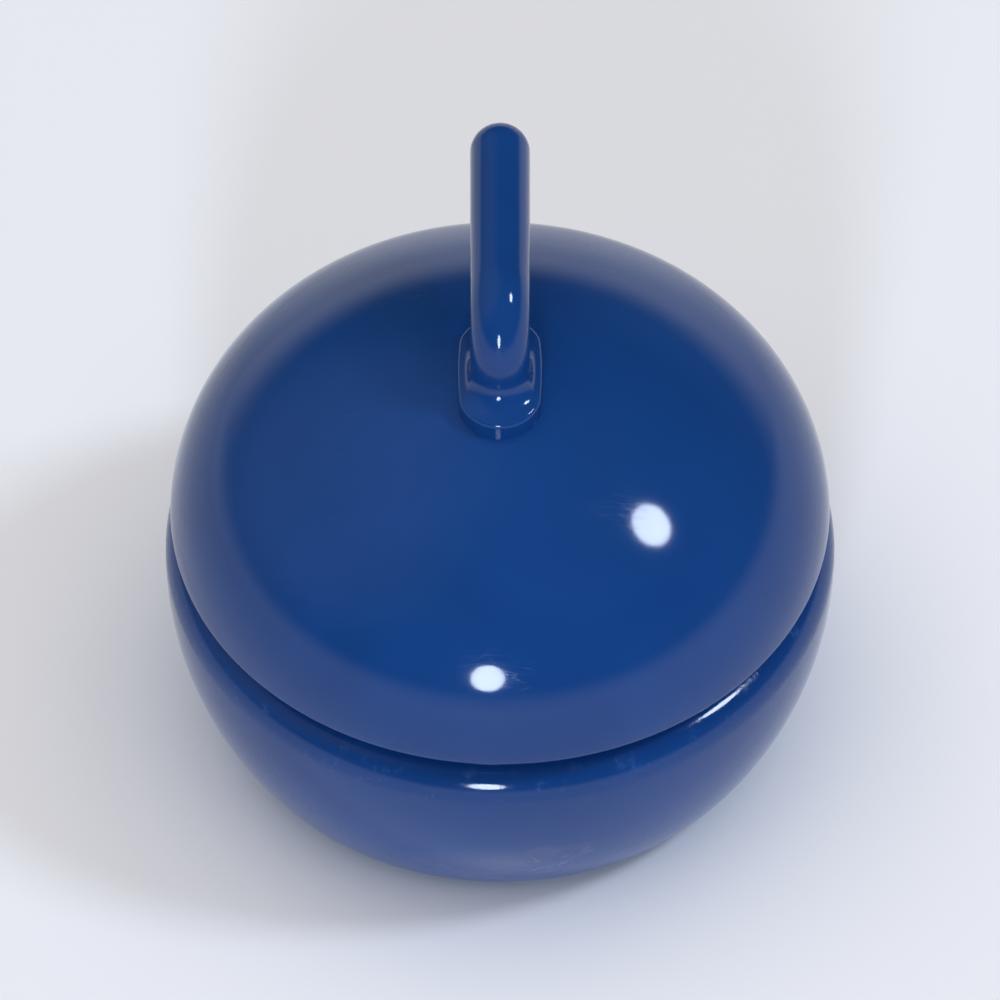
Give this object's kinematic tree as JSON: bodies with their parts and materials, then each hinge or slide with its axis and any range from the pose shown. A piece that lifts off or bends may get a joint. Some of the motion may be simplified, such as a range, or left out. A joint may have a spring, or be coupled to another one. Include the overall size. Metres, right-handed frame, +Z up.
{
  "type": "table-top curling stone",
  "caption": "Miniature curling stone of glossy plastic with a gooseneck handle, which rolls on a captive steel ball in its flat underside.",
  "frame": {"origin": "the point where the ball touches the table, on the stone's axis", "axes": "+Z up along the stone's axis, +Y the way the handle's grip points"},
  "size_m": [0.027, 0.027, 0.0247],
  "materials": {
    "shell_plastic": "glossy moulded blue plastic",
    "bearing_plastic": "satin natural white",
    "ball_steel": "ground and polished",
    "fastener_steel": "zinc plated"
  },
  "bodies": {
    "stone": {"upper_shell": "shell_plastic", "lower_shell": "shell_plastic", "handle": "shell_plastic", "handle_screw": "fastener_steel", "handle_washer": "fastener_steel", "ball_cup": "bearing_plastic", "ball_retainer": "bearing_plastic", "base_screw_1": "fastener_steel", "base_screw_2": "fastener_steel", "base_screw_3": "fastener_steel"},
    "rolling_ball": {"ball": "ball_steel"}
  },
  "joints": [
    {"name": "ball_roll", "type": "hinge", "parent": "stone", "child": "rolling_ball", "pos_m": [0, 0, 0.005], "axis": [1, 0, 0], "continuous": true}
  ]
}
